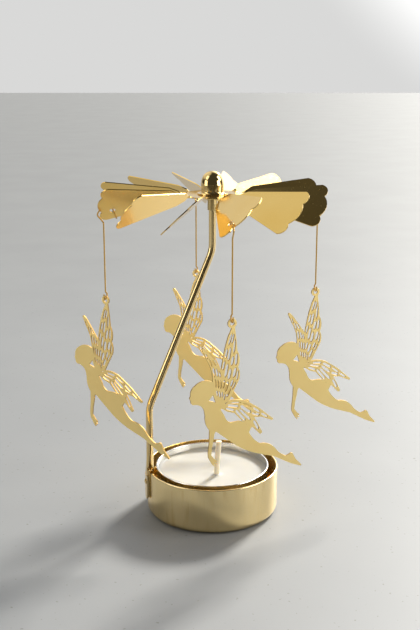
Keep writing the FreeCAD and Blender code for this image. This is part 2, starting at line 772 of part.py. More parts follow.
# Openings between the veins: both ends of each, then its width as a share of the
# figure's width.
vein_gap_shares = [
    (0.000, 0.057, -0.033, 0.137, 0.017),
    (-0.040, 0.150, -0.058, 0.215, 0.020),
    (-0.064, 0.228, -0.079, 0.283, 0.018),
    (0.015, 0.062, -0.004, 0.128, 0.017),
    (-0.012, 0.142, -0.034, 0.235, 0.022),
    (-0.038, 0.248, -0.058, 0.330, 0.023),
    (-0.064, 0.345, -0.079, 0.402, 0.019),
    (0.025, 0.098, 0.014, 0.190, 0.017),
    (0.012, 0.203, -0.007, 0.266, 0.023),
    (-0.012, 0.280, -0.031, 0.350, 0.026),
    (-0.036, 0.363, -0.058, 0.420, 0.020),
    (0.041, 0.190, 0.032, 0.266, 0.021),
    (0.032, 0.280, 0.014, 0.338, 0.024),
    (0.008, 0.352, -0.010, 0.396, 0.020),
    (-0.016, 0.406, -0.046, 0.458, 0.015),
    (0.052, 0.300, 0.043, 0.358, 0.014),
    (0.031, 0.370, 0.003, 0.412, 0.013),
    (-0.227, 0.166, -0.207, 0.203, 0.010),
    (-0.196, 0.203, -0.175, 0.248, 0.012),
    (-0.175, 0.208, -0.143, 0.250, 0.014),
    (-0.162, 0.262, -0.150, 0.318, 0.014),
    (-0.138, 0.266, -0.121, 0.322, 0.017),
    (-0.114, 0.284, -0.098, 0.328, 0.014),
    (-0.145, 0.335, -0.139, 0.385, 0.011),
    (-0.124, 0.337, -0.117, 0.396, 0.016),
    (-0.100, 0.343, -0.097, 0.402, 0.016),
    (-0.133, 0.404, -0.122, 0.446, 0.013),
    (-0.110, 0.412, -0.101, 0.456, 0.014),
    (-0.086, 0.418, -0.082, 0.458, 0.013),
    (-0.062, 0.435, -0.067, 0.474, 0.012),
    (-0.008, 0.501, 0.078, 0.507, 0.011),
    (0.096, 0.513, 0.170, 0.546, 0.014),
    (0.186, 0.553, 0.252, 0.592, 0.014),
    (0.264, 0.600, 0.318, 0.630, 0.011),
    (-0.038, 0.513, 0.060, 0.531, 0.013),
    (0.080, 0.530, 0.165, 0.582, 0.020),
    (0.180, 0.588, 0.246, 0.608, 0.014),
    (0.197, 0.642, 0.237, 0.698, 0.013),
    (0.068, 0.550, 0.165, 0.630, 0.014),
    (0.034, 0.552, 0.118, 0.628, 0.012),
    (-0.046, 0.531, 0.018, 0.552, 0.011),
]
vein_gap_point_share = 0.22


def fairy_point(across_share, down_share):
    return vector(fairy_width * across_share, -fairy_sheet / 2, -fairy_drop * down_share)


def fairy_plate(shares):
    steps = [[fairy_point(x, y) for x, y in step] for step in shares]
    return Part.Face(outline(steps)).extrude(vector(0, fairy_sheet, 0))


def vein_gap(gap):
    # A long six-sided opening that comes to a point at both ends.
    start = fairy_point(gap[0], gap[1])
    end = fairy_point(gap[2], gap[3])
    along = end - start
    aside = vector(along.z, 0, -along.x).normalize() * (fairy_width * gap[4] / 2)
    low = start + along * vein_gap_point_share
    high = end - along * vein_gap_point_share
    corners = [start, low + aside, high + aside, end, high - aside, low - aside]
    face = Part.Face(outline([[corner] for corner in corners]))
    gap_solid = face.extrude(vector(0, fairy_sheet + 2 * overrun, 0))
    gap_solid.translate(vector(0, -overrun, 0))
    return gap_solid


def make_fairy():
    # Etched from flat sheet: a flying figure, two raised wings, two trailing wings
    # and a ring at the tip of the broad wing, with the ring's centre at the origin.
    half = vector(0, -fairy_sheet / 2, 0)
    across = vector(0, 1, 0)
    ring = Part.makeCylinder(ring_radius, fairy_sheet, half, across)
    plates = [fairy_plate(shares) for shares in (
        broad_wing_shares, narrow_wing_shares, body_shares,
        upper_tail_wing_shares, lower_tail_wing_shares)]
    figure = ring.multiFuse(plates).removeSplitter()
    neck_gap = fairy_plate(neck_gap_shares)
    eye = Part.makeCylinder(ring_hole_radius, fairy_sheet + 2 * overrun,
                            half - across * overrun, across)
    figure = figure.cut(neck_gap).cut(eye)
    return figure.cut([vein_gap(gap) for gap in vein_gap_shares])


def place_fairy(figure, azimuth, facing):
    placed = figure.copy()
    placed.rotate(centre, up, facing)
    placed.translate(radial(azimuth) * hanger_radius + up * ring_height)
    return placed


parts = {
    "cup_shell": make_cup_shell(),
    "tealight_shell": make_tealight_shell(),
    "wax": make_wax(),
    "wick": make_wick(),
    "wick_sustainer": make_wick_sustainer(),
    "mast": make_mast(),
    "rim_clip": make_rim_clip(),
    "mast_rivet": make_mast_rivet(),
    "collar": make_collar(),
    "needle": make_needle(),
    "rotor": make_rotor(),
    "dome_cap": make_dome_cap(),
    "bearing_cup": make_bearing_cup(),
}
fairy = make_fairy()
for place, (number, facing) in pendants.items():
    azimuth = blade_azimuth(number) + hook_lead
    parts["hanger_wire_" + place] = make_hanger_wire(azimuth, facing)
    parts["fairy_" + place] = place_fairy(fairy, azimuth, facing)

for name, shape in parts.items():
    box = shape.BoundBox
    print(name, "solids", len(shape.Solids), "valid", shape.isValid(), "volume", round(shape.Volume, 2),
          "z", round(box.ZMin, 2), round(box.ZMax, 2))
    shape.exportStep("parts/" + name + ".step")
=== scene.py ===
import math
import bpy
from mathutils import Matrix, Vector, noise
from mathutils.bvhtree import BVHTree


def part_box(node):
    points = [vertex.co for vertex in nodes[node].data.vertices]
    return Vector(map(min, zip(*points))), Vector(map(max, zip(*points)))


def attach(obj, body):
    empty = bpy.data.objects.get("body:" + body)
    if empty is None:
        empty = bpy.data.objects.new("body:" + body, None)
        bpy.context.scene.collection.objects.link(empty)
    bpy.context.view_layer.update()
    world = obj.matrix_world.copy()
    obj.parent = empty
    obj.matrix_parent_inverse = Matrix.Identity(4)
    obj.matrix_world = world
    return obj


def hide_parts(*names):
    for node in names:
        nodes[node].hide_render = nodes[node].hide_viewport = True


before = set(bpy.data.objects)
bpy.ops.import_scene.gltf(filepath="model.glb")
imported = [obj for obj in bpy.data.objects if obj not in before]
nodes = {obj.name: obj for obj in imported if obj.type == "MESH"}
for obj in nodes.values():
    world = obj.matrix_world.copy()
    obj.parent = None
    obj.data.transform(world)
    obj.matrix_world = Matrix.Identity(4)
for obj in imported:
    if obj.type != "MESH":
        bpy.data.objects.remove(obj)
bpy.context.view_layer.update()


# The cup: a shallow bowl of brass plated sheet, spun to a round foot and a softened
# lip. Its wall is brushed up and down and lacquered. The candle stands on its flat
# floor, and the mast is clipped and riveted to its rim.
mm = 0.001
cup_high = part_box("cup_shell")[1]
cup_radius = cup_high.x
cup_height = cup_high.z
cup_wall = 0.6 * mm
cup_foot_round = 2.2 * mm
cup_lip_round = 0.25 * mm
cup_segments = 192
joined_under = 0.001 * mm
cup_light_gold = "#FDE9B6"
cup_deep_gold = "#F5D99A"
cup_stain = "#D9B676"
# The inside's deeper amber is painted reflection, for the glow of light bouncing between
# cup and foil.
cup_inside_bounce_amber = "#F8D27C"
cup_inside_bounce_amber_deep = "#EFC268"
# Real hairlines are about 0.05 mm wide, too fine to show, so these are coarser.
cup_hairline_width = 0.4 * mm
cup_hairline_length = 9 * mm
cup_hairline_depth = 0.02 * mm
cup_smudge_width = 2.8 * mm
cup_smudge_length = 18 * mm
amber_cloud_size = 5 * mm


def linear_colour(code):
    """An sRGB hex code as the linear colour that a shader socket takes."""
    channels = [int(code[i:i + 2], 16) / 255 for i in (1, 3, 5)]
    return [c / 12.92 if c <= 0.04045 else ((c + 0.055) / 1.055) ** 2.4
            for c in channels] + [1]


def add_node(tree, kind, settings=None, links=None):
    """One shader node. Settings go to its properties or its input sockets, in the order
    given, because some sockets depend on a property. Links go to its input sockets."""
    made = tree.nodes.new(kind)
    for name, value in (settings or {}).items():
        if isinstance(name, str) and hasattr(made, name):
            setattr(made, name, value)
        else:
            made.inputs[name].default_value = value
    for name, source in (links or {}).items():
        tree.links.new(source, made.inputs[name])
    return made


def start_material(name):
    """A new material, its node tree, its shader and the place on the object in metres."""
    material = bpy.data.materials.new(name)
    material.use_nodes = True
    tree = material.node_tree
    shader = tree.nodes["Principled BSDF"]
    place = add_node(tree, "ShaderNodeTexCoord").outputs["Object"]
    return material, tree, shader, place


def brushed_gold():
    """Brass plated sheet, brushed upright: hairlines soften each reflection sideways,
    and long faint smudges dull and darken the lacquer."""
    material, tree, shader, place = start_material("brushed_gold_plate")
    brushed = add_node(tree, "ShaderNodeMapping", {
        "Scale": (1 / cup_hairline_width, 1 / cup_hairline_width, 1 / cup_hairline_length),
    }, {"Vector": place})
    hairlines = add_node(tree, "ShaderNodeTexNoise", {
        "Scale": 1, "Detail": 5, "Roughness": 0.62,
    }, {"Vector": brushed.outputs["Vector"]})
    wiped = add_node(tree, "ShaderNodeMapping", {
        "Scale": (1 / cup_smudge_width, 1 / cup_smudge_width, 1 / cup_smudge_length),
    }, {"Vector": place})
    smudges = add_node(tree, "ShaderNodeTexNoise", {"Scale": 1, "Detail": 2},
                       {"Vector": wiped.outputs["Vector"]})
    tint = add_node(tree, "ShaderNodeMix", {
        "data_type": "RGBA",
        "A": linear_colour(cup_deep_gold), "B": linear_colour(cup_light_gold),
    }, {"Factor": hairlines.outputs["Fac"]})
    wear = add_node(tree, "ShaderNodeMapRange", {
        "From Min": 0.54, "From Max": 0.74, "To Min": 0, "To Max": 0.6,
    }, {"Value": smudges.outputs["Fac"]})
    stained = add_node(tree, "ShaderNodeMix", {
        "data_type": "RGBA", "B": linear_colour(cup_stain),
    }, {"Factor": wear.outputs["Result"], "A": tint.outputs["Result"]})
    gloss = add_node(tree, "ShaderNodeMapRange", {
        "From Min": 0.3, "From Max": 0.7, "To Min": 0.17, "To Max": 0.27,
    }, {"Value": smudges.outputs["Fac"]})
    relief = add_node(tree, "ShaderNodeBump", {
        "Strength": 0.5, "Distance": cup_hairline_depth,
    }, {"Height": hairlines.outputs["Fac"]})
    shader.inputs["Metallic"].default_value = 1
    tree.links.new(stained.outputs["Result"], shader.inputs["Base Color"])
    tree.links.new(gloss.outputs["Result"], shader.inputs["Roughness"])
    tree.links.new(relief.outputs["Normal"], shader.inputs["Normal"])
    return material


def inside_bounce_amber_plate():
    """The unbrushed inside of the same sheet: smoother, and tinted a deeper amber than the
    outside. That tint is a painted reflection of the glow that light gains bouncing between
    cup and foil. It varies in slow clouds."""
    material, tree, shader, place = start_material("painted_bounce_amber_plate")
    clouds = add_node(tree, "ShaderNodeTexNoise", {
        "Scale": 1 / amber_cloud_size, "Detail": 3,
    }, {"Vector": place})
    tint = add_node(tree, "ShaderNodeMix", {
        "data_type": "RGBA",
        "A": linear_colour(cup_inside_bounce_amber_deep), "B": linear_colour(cup_inside_bounce_amber),
    }, {"Factor": clouds.outputs["Fac"]})
    gloss = add_node(tree, "ShaderNodeMapRange", {
        "From Min": 0.3, "From Max": 0.7, "To Min": 0.2, "To Max": 0.3,
    }, {"Value": clouds.outputs["Fac"]})
    shader.inputs["Metallic"].default_value = 0.9
    tree.links.new(tint.outputs["Result"], shader.inputs["Base Color"])
    tree.links.new(gloss.outputs["Result"], shader.inputs["Roughness"])
    return material


def round_profile(corners, steps=6):
    """Stations (radius, height) of a profile whose corners are (radius, height,
    rounding)."""
    stations = []
    for number, (radius, height, rounding) in enumerate(corners):
        corner = Vector((radius, height))
        if rounding == 0:
            stations.append(corner)
            continue
        before = (Vector(corners[number - 1][:2]) - corner).normalized()
        after = (Vector(corners[(number + 1) % len(corners)][:2]) - corner).normalized()
        half = before.angle(after) / 2
        middle = corner + (before + after).normalized() * rounding / math.sin(half)
        start = corner + before * rounding / math.tan(half) - middle
        end = corner + after * rounding / math.tan(half) - middle
        for step in range(steps + 1):
            share = step / steps
            spoke = start * (1 - share) + end * share
            stations.append(middle + spoke.normalized() * rounding)
    return stations


def turn_profile(name, stations, segments=cup_segments):
    """Draws a ring at the first station and pulls it through the others. A first
    station on the axis fills the first ring, a last one there closes the surface, and
    a profile may also end on its own first station."""
    filled = stations[0][0] == 0
    first = 1 if filled else 0
    radius, height = stations[first]
    bpy.ops.object.select_all(action="DESELECT")
    bpy.ops.mesh.primitive_circle_add(
        vertices=segments, radius=radius, location=(0, 0, height),
        fill_type="TRIFAN" if filled else "NOTHING")
    piece = bpy.context.object
    piece.name = name
    bpy.ops.object.transform_apply()
    bpy.ops.object.mode_set(mode="EDIT")
    bpy.ops.mesh.select_mode(type="EDGE")
    bpy.ops.mesh.select_all(action="SELECT")
    if filled:
        bpy.ops.mesh.region_to_loop()
    for wide, high in stations[first + 1:]:
        rise = (0, 0, high - height)
        bpy.ops.mesh.extrude_edges_move(TRANSFORM_OT_translate={"value": rise})
        if wide > 0:
            spread = (wide / radius, wide / radius, 1)
            bpy.ops.transform.resize(value=spread, center_override=(0, 0, high))
            radius = wide
        else:
            bpy.ops.mesh.merge(type="CENTER")
        height = high
    bpy.ops.mesh.select_all(action="SELECT")
    bpy.ops.mesh.remove_doubles(threshold=joined_under)
    bpy.ops.mesh.normals_make_consistent(inside=False)
    bpy.ops.object.mode_set(mode="OBJECT")
    return piece


def dress(piece, material, smooth_under=35):
    """Smooth shading up to that angle, and one material."""
    bpy.ops.object.select_all(action="DESELECT")
    piece.select_set(True)
    bpy.context.view_layer.objects.active = piece
    bpy.ops.object.shade_smooth_by_angle(angle=math.radians(smooth_under))
    piece.data.materials.clear()
    piece.data.materials.append(material)


cup = turn_profile("cup", round_profile([
    (0, 0, 0),
    (cup_radius, 0, cup_foot_round),
    (cup_radius, cup_height, cup_lip_round),
    (cup_radius - cup_wall, cup_height, cup_lip_round),
    (cup_radius - cup_wall, cup_wall, cup_foot_round - cup_wall),
    (0, cup_wall, 0),
]))
dress(cup, brushed_gold())
cup.data.materials.append(inside_bounce_amber_plate())
# The inner wall and floor take the amber plate, whose tint is painted reflection of light
# bouncing inside.
for face in cup.data.polygons:
    reach = math.hypot(face.center.x, face.center.y)
    outward = face.normal.x * face.center.x + face.normal.y * face.center.y
    inner_wall = outward < -0.5 * reach
    inner_floor = face.normal.z > 0.5 and face.center.z < cup_height / 2
    face.material_index = 1 if inner_wall or inner_floor else 0
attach(cup, "stand")
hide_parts("cup_shell")


# The candle's own cup: drawn from thin aluminium foil with a dished floor, a plain
# upright wall and a rolled bead at the rim. It stands loose in the brass cup.
foil_low, foil_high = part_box("tealight_shell")
foil_bead = 0.35 * mm
foil_bead_round = 0.3 * mm
foil_foot_round = 0.3 * mm
foil_lip_round = 0.15 * mm
foil_radius = foil_high.x - foil_bead
foil_wall = 0.25 * mm
foil_inner = foil_radius - foil_wall
foil_foot_radius = 16 * mm
foil_foot_rise = 0.4 * mm
foil_segments = 288
foil_silver = "#EFEEEB"
foil_shade = "#DAD9D6"
foil_crease_size = 3.5 * mm
foil_crease_depth = 0.02 * mm


def candle_foil():
    """Drawn aluminium foil: bright, with the faint creases and dull patches of thin
    sheet."""
    material, tree, shader, place = start_material("drawn_aluminium_foil")
    creases = add_node(tree, "ShaderNodeTexNoise", {
        "Scale": 1 / foil_crease_size, "Detail": 3,
    }, {"Vector": place})
    tint = add_node(tree, "ShaderNodeMix", {
        "data_type": "RGBA",
        "A": linear_colour(foil_shade), "B": linear_colour(foil_silver),
    }, {"Factor": creases.outputs["Fac"]})
    gloss = add_node(tree, "ShaderNodeMapRange", {
        "From Min": 0.35, "From Max": 0.7, "To Min": 0.12, "To Max": 0.22,
    }, {"Value": creases.outputs["Fac"]})
    relief = add_node(tree, "ShaderNodeBump", {
        "Strength": 0.2, "Distance": foil_crease_depth,
    }, {"Height": creases.outputs["Fac"]})
    shader.inputs["Metallic"].default_value = 1
    tree.links.new(tint.outputs["Result"], shader.inputs["Base Color"])
    tree.links.new(gloss.outputs["Result"], shader.inputs["Roughness"])
    tree.links.new(relief.outputs["Normal"], shader.inputs["Normal"])
    return material


foil_cup = turn_profile("foil_cup", round_profile([
    (0, foil_low.z + foil_foot_rise, 0),
    (foil_foot_radius, foil_low.z + foil_foot_rise, 0),
    (foil_foot_radius + foil_foot_rise, foil_low.z, 0),
    (foil_radius, foil_low.z, foil_foot_round),
    (foil_radius, foil_high.z - 2 * foil_bead, 0),
    (foil_radius + foil_bead, foil_high.z - 2 * foil_bead, foil_bead_round),
    (foil_radius + foil_bead, foil_high.z, foil_bead_round),
    (foil_inner, foil_high.z, foil_lip_round),
    (foil_inner, foil_low.z + foil_wall, 0),
    (foil_foot_radius + foil_foot_rise, foil_low.z + foil_wall, 0),
    (foil_foot_radius, foil_low.z + foil_foot_rise + foil_wall, 0),
    (0, foil_low.z + foil_foot_rise + foil_wall, 0),
]), foil_segments)
dress(foil_cup, candle_foil())
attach(foil_cup, "candle")
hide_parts("tealight_shell")


# The wax: paraffin poured into the foil. It has climbed the wall unevenly as it set,
# sunk a little towards the middle and drawn up round the wick.
wax_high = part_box("wax")[1]
wick_low, wick_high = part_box("wick")
wick_radius = 1 * mm
wick_foot = Vector((1.55 * mm, -4 * mm))
wax_radius = foil_inner - 0.03 * mm
wax_floor = foil_low.z + foil_foot_rise + foil_wall + 0.05 * mm
# How far the wax climbs the wall, and how much of that is uneven.
wax_climb = 0.35 * mm
wax_climb_share = 0.72
wax_climb_spread = 0.28
wax_top = wax_high.z - wax_climb
wax_skin_depth = 0.5 * mm
wax_edge_waves = 3.1
wax_edge_width = 1.5 * mm
wax_edge_spread = 0.5 * mm
wax_drawn_height = 0.4 * mm
wax_drawn_width = 0.7 * mm
wax_ripple_length = 5 * mm
wax_ripple_height = 0.05 * mm
wax_sag = 0.16 * mm
wax_rings = 36
wax_ring_crowding = 1.5
wax_cream = "#BDBDB9"
wax_warm = "#B6B3AC"
wax_cloud_size = 9 * mm
wax_pock_size = 1.4 * mm
wax_pock_depth = 0.04 * mm
wax_light_depth = 3 * mm


def poured_wax():
    """Paraffin: light goes in a few millimetres, and the skin is smooth with slow
    cloudy patches and soft shallow pocks."""
    material, tree, shader, place = start_material("poured_paraffin")
    clouds = add_node(tree, "ShaderNodeTexNoise", {
        "Scale": 1 / wax_cloud_size, "Detail": 4, "Roughness": 0.55,
    }, {"Vector": place})
    tint = add_node(tree, "ShaderNodeMix", {
        "data_type": "RGBA",
        "A": linear_colour(wax_warm), "B": linear_colour(wax_cream),
    }, {"Factor": clouds.outputs["Fac"]})
    pocks = add_node(tree, "ShaderNodeTexNoise", {
        "Scale": 1 / wax_pock_size, "Detail": 3,
    }, {"Vector": place})
    relief = add_node(tree, "ShaderNodeBump", {
        "Strength": 0.25, "Distance": wax_pock_depth,
    }, {"Height": pocks.outputs["Fac"]})
    shader.inputs["Roughness"].default_value = 0.34
    shader.inputs["IOR"].default_value = 1.44
    shader.inputs["Subsurface Weight"].default_value = 0.9
    shader.inputs["Subsurface Radius"].default_value = (1, 0.85, 0.6)
    shader.inputs["Subsurface Scale"].default_value = wax_light_depth
    tree.links.new(tint.outputs["Result"], shader.inputs["Base Color"])
    tree.links.new(relief.outputs["Normal"], shader.inputs["Normal"])
    return material


def settle_wax(piece):
    """Raises the surface unevenly at the wall and round the wick, and lets it sag
    between them."""
    for vertex in piece.data.vertices:
        if vertex.co.z < wax_top - wax_skin_depth:
            continue
        reach = math.hypot(vertex.co.x, vertex.co.y)
        angle = math.atan2(vertex.co.y, vertex.co.x)
        round_wall = Vector((math.cos(angle), math.sin(angle), 0)) * wax_edge_waves
        uneven = noise.noise(round_wall)
        edge_width = wax_edge_width + wax_edge_spread * uneven
        edge = max(0, 1 - (wax_radius - reach) / edge_width) ** 2
        climb = wax_climb * edge * (wax_climb_share + wax_climb_spread * uneven)
        from_wick = math.hypot(vertex.co.x - wick_foot.x, vertex.co.y - wick_foot.y)
        wick_gap = max(from_wick - wick_radius, 0)
        drawn_up = wax_drawn_height * math.exp(-wick_gap / wax_drawn_width)
        ripple = noise.noise(vertex.co / wax_ripple_length) * wax_ripple_height
        sag = wax_sag * math.cos(min(1, reach / wax_radius) * math.pi / 2)
        vertex.co.z = wax_top - sag + ripple + climb + drawn_up


wax_surface = [
    (wax_radius * (1 - (ring / wax_rings) ** wax_ring_crowding), wax_top)
    for ring in range(wax_rings)
]
wax_block = turn_profile(
    "wax_block", [(0, wax_floor), (wax_radius, wax_floor)] + wax_surface + [(0, wax_top)])
settle_wax(wax_block)
dress(wax_block, poured_wax())
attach(wax_block, "candle")
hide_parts("wax")


# The wick: a braided cotton cord dipped in wax. It stands in a tinned disc at the
# bottom of the candle and leans a little where it comes out of the wax.
wick_lean = 0.75 * mm
wick_lean_curve = 1.15
wick_bend_height = wax_top + 1.5 * mm
wick_turns = 7
wick_thread_depth = 0.035
wick_top = wick_high.z - 0.1 * mm
wick_height = wick_top - wick_low.z
wick_crown_width = 0.7
wick_crown_rise = 0.08 * mm
wick_crown_hollow = 0.02 * mm
wick_stations = 96
wick_segments = 48
wick_cream = "#EFE6D2"
wick_honey = "#E6D8B8"
# Real cotton fibres are about 0.02 mm wide, so these are drawn coarser to show.
wick_fibre_width = 0.25 * mm
wick_fibre_depth = 0.04 * mm
wick_light_depth = 0.8 * mm


def waxed_cotton():
    """Braided cotton soaked in wax: soft satin threads, cream with honey coloured
    fibres, which light goes a little way into."""
    material, tree, shader, place = start_material("waxed_cotton_braid")
    fibres = add_node(tree, "ShaderNodeTexNoise", {
        "Scale": 1 / wick_fibre_width, "Detail": 4,
    }, {"Vector": place})
    tint = add_node(tree, "ShaderNodeMix", {
        "data_type": "RGBA",
        "A": linear_colour(wick_honey), "B": linear_colour(wick_cream),
    }, {"Factor": fibres.outputs["Fac"]})
    relief = add_node(tree, "ShaderNodeBump", {
        "Strength": 0.3, "Distance": wick_fibre_depth,
    }, {"Height": fibres.outputs["Fac"]})
    shader.inputs["Roughness"].default_value = 0.5
    shader.inputs["Subsurface Weight"].default_value = 0.5
    shader.inputs["Subsurface Radius"].default_value = (1, 0.8, 0.5)
    shader.inputs["Subsurface Scale"].default_value = wick_light_depth
    tree.links.new(tint.outputs["Result"], shader.inputs["Base Color"])
    tree.links.new(relief.outputs["Normal"], shader.inputs["Normal"])
    return material


def braid_wick(piece):
    """Gives the plain cord its crossing threads, then moves it to its place and leans it
    where it leaves the wax."""
    for vertex in piece.data.vertices:
        angle = math.atan2(vertex.co.y, vertex.co.x)
        up = (vertex.co.z - wick_low.z) / (wick_high.z - wick_low.z)
        climb = up * wick_turns * 2 * math.pi
        thread = max(math.cos(2 * angle + climb), math.cos(2 * angle - climb))
        reach = 1 - wick_thread_depth * (1 - thread)
        above = max(0, vertex.co.z - wick_bend_height) / (wick_high.z - wick_bend_height)
        lean = wick_lean * above ** wick_lean_curve
        vertex.co.x = wick_foot.x + vertex.co.x * reach + lean
        vertex.co.y = wick_foot.y + vertex.co.y * reach


wick_side = [
    (wick_radius, wick_low.z + wick_height * station / wick_stations)
    for station in range(wick_stations + 1)
]
wick_crown = [
    (wick_radius * wick_crown_width, wick_top + wick_crown_rise),
    (0, wick_top + wick_crown_hollow),
]
wick = turn_profile("wick_cord", [(0, wick_low.z)] + wick_side + wick_crown, wick_segments)
braid_wick(wick)
dress(wick, waxed_cotton(), smooth_under=60)
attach(wick, "candle")
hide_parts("wick")


# The wick's foot: a disc stamped from tinned sheet steel, with a short neck that grips
# the wick. It lies at the bottom of the candle, hidden under the wax.
tin_grey = "#CFCFCB"
tin_spangle_size = 1.2 * mm


def tin_plate():
    """Tinned steel: pale, softly bright, with the crystal flecks of the tin."""
    material, tree, shader, place = start_material("tinned_sheet")
    spangle = add_node(tree, "ShaderNodeTexVoronoi", {"Scale": 1 / tin_spangle_size},
                       {"Vector": place})
    gloss = add_node(tree, "ShaderNodeMapRange", {
        "From Min": 0, "From Max": 1, "To Min": 0.25, "To Max": 0.45,
    }, {"Value": spangle.outputs["Distance"]})
    shader.inputs["Base Color"].default_value = linear_colour(tin_grey)
    shader.inputs["Metallic"].default_value = 1
    tree.links.new(gloss.outputs["Result"], shader.inputs["Roughness"])
    return material


def repaint(node, material):
    """A CAD node keeps its mesh and takes the material."""
    nodes[node].data.materials.clear()
    nodes[node].data.materials.append(material)


repaint("wick_sustainer", tin_plate())


# The mast: a strip of the same plated sheet, rolled into a thin tube whose seam shows
# as a dark line. It is bent twice, and its foot opens into a tongue outside the cup.
mast_gold = "#F4DBA4"
mast_deep_gold = "#E9C884"
mast_dullness = 0.14
gold_wave_size = 6 * mm
gold_wave_depth = 0.03 * mm
# Real dust is about 0.05 mm across, so these specks are drawn coarser to show.
gold_dust_size = 0.35 * mm
gold_dust_dulls = 0.08


def polished_gold(name, light, deep, dullness=0.1, waviness=0.2):
    """Polished brass plate under lacquer: near mirror, a little duller where dust lies,
    with a slow unevenness from rolling. Dullness is its least roughness, and waviness
    is how strong the unevenness is."""
    material, tree, shader, place = start_material(name)
    waves = add_node(tree, "ShaderNodeTexNoise", {
        "Scale": 1 / gold_wave_size, "Detail": 2,
    }, {"Vector": place})
    dust = add_node(tree, "ShaderNodeTexNoise", {
        "Scale": 1 / gold_dust_size, "Detail": 3,
    }, {"Vector": place})
    tint = add_node(tree, "ShaderNodeMix", {
        "data_type": "RGBA", "A": linear_colour(deep), "B": linear_colour(light),
    }, {"Factor": waves.outputs["Fac"]})
    gloss = add_node(tree, "ShaderNodeMapRange", {
        "From Min": 0.45, "From Max": 0.75,
        "To Min": dullness, "To Max": dullness + gold_dust_dulls,
    }, {"Value": dust.outputs["Fac"]})
    relief = add_node(tree, "ShaderNodeBump", {
        "Strength": waviness, "Distance": gold_wave_depth,
    }, {"Height": waves.outputs["Fac"]})
    shader.inputs["Metallic"].default_value = 1
    tree.links.new(tint.outputs["Result"], shader.inputs["Base Color"])
    tree.links.new(gloss.outputs["Result"], shader.inputs["Roughness"])
    tree.links.new(relief.outputs["Normal"], shader.inputs["Normal"])
    return material


repaint("mast", polished_gold("rolled_gold_tube", mast_gold, mast_deep_gold, mast_dullness))


# The clip and rivet: a bent spring strip of plated brass hooks over the cup's rim
# beside the mast, and one domed rivet holds tongue, strip and cup together.
clip_gold = "#F6DEA4"
clip_deep_gold = "#E5C27A"
clip_easing = 0.06 * mm
# Degrees between two faces: over the first their edge is eased, under the second they
# are joined.
sharp_over = 40
flat_under = 0.5


def clean_copy(node, name):
    """A merged copy of a CAD node, its flat faces joined, so that its edges can be
    eased."""
    piece = bpy.data.objects.new(name, nodes[node].data.copy())
    bpy.context.scene.collection.objects.link(piece)
    bpy.ops.object.select_all(action="DESELECT")
    piece.select_set(True)
    bpy.context.view_layer.objects.active = piece
    bpy.ops.mesh.customdata_custom_splitnormals_clear()
    bpy.ops.object.mode_set(mode="EDIT")
    bpy.ops.mesh.select_all(action="SELECT")
    bpy.ops.mesh.remove_doubles(threshold=joined_under)
    bpy.ops.mesh.dissolve_limited(angle_limit=math.radians(flat_under))
    bpy.ops.object.mode_set(mode="OBJECT")
    return piece


def ease_edges(piece, width, segments=2):
    """Rounds every sharp edge by that width, as tumbling or etching leaves it."""
    bpy.ops.object.select_all(action="DESELECT")
    piece.select_set(True)
    bpy.context.view_layer.objects.active = piece
    eased = piece.modifiers.new("eased", "BEVEL")
    eased.width = width
    eased.segments = segments
    eased.limit_method = "ANGLE"
    eased.angle_limit = math.radians(sharp_over)
    bpy.ops.object.modifier_apply(modifier="eased")


def keep_flats_flat(piece):
    """Large flat faces keep their own direction, and only the eased edges between them
    curve. The piece is the active one, as dress leaves it."""
    flats = piece.modifiers.new("flats", "WEIGHTED_NORMAL")
    flats.mode = "FACE_AREA"
    flats.weight = 100
    flats.keep_sharp = True
    bpy.ops.object.modifier_apply(modifier="flats")


clip_plate = polished_gold("gold_spring_strip", clip_gold, clip_deep_gold)
rim_clip = clean_copy("rim_clip", "rim_spring_clip")
ease_edges(rim_clip, clip_easing)
dress(rim_clip, clip_plate, smooth_under=50)
keep_flats_flat(rim_clip)
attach(rim_clip, "stand")
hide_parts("rim_clip")

repaint("mast_rivet", clip_plate)


# The collar, needle and bearing: a ferrule turned from brass closes the mast's end, and
# a pin of ground steel stands in it. The pin's point runs in a dimpled plug of the same
# steel, pressed into the dome cap.
collar_low, collar_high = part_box("collar")
collar_radius = collar_high.x
collar_chamfer = 0.12 * mm
collar_bore = 0.85 * mm
collar_segments = 96
collar_grey_gold = "#C9B27C"
# Real turning lines are about 0.03 mm apart, so these are drawn coarser to show.
collar_line_spacing = 0.12 * mm
collar_line_length = 25 * mm
collar_line_depth = 0.015 * mm
steel_grey = "#A9A59C"
steel_mark_size = 0.1 * mm


def turned_grey_gold():
    """Turned brass left matt: a greyer gold with fine lines round it."""
    material, tree, shader, place = start_material("turned_grey_brass")
    turned = add_node(tree, "ShaderNodeMapping", {
        "Scale": (1 / collar_line_length, 1 / collar_line_length, 1 / collar_line_spacing),
    }, {"Vector": place})
    lines = add_node(tree, "ShaderNodeTexNoise", {"Scale": 1, "Detail": 4},
                     {"Vector": turned.outputs["Vector"]})
    relief = add_node(tree, "ShaderNodeBump", {
        "Strength": 0.4, "Distance": collar_line_depth,
    }, {"Height": lines.outputs["Fac"]})
    gloss = add_node(tree, "ShaderNodeMapRange", {
        "From Min": 0.3, "From Max": 0.7, "To Min": 0.3, "To Max": 0.42,
    }, {"Value": lines.outputs["Fac"]})
    shader.inputs["Base Color"].default_value = linear_colour(collar_grey_gold)
    shader.inputs["Metallic"].default_value = 1
    tree.links.new(gloss.outputs["Result"], shader.inputs["Roughness"])
    tree.links.new(relief.outputs["Normal"], shader.inputs["Normal"])
    return material


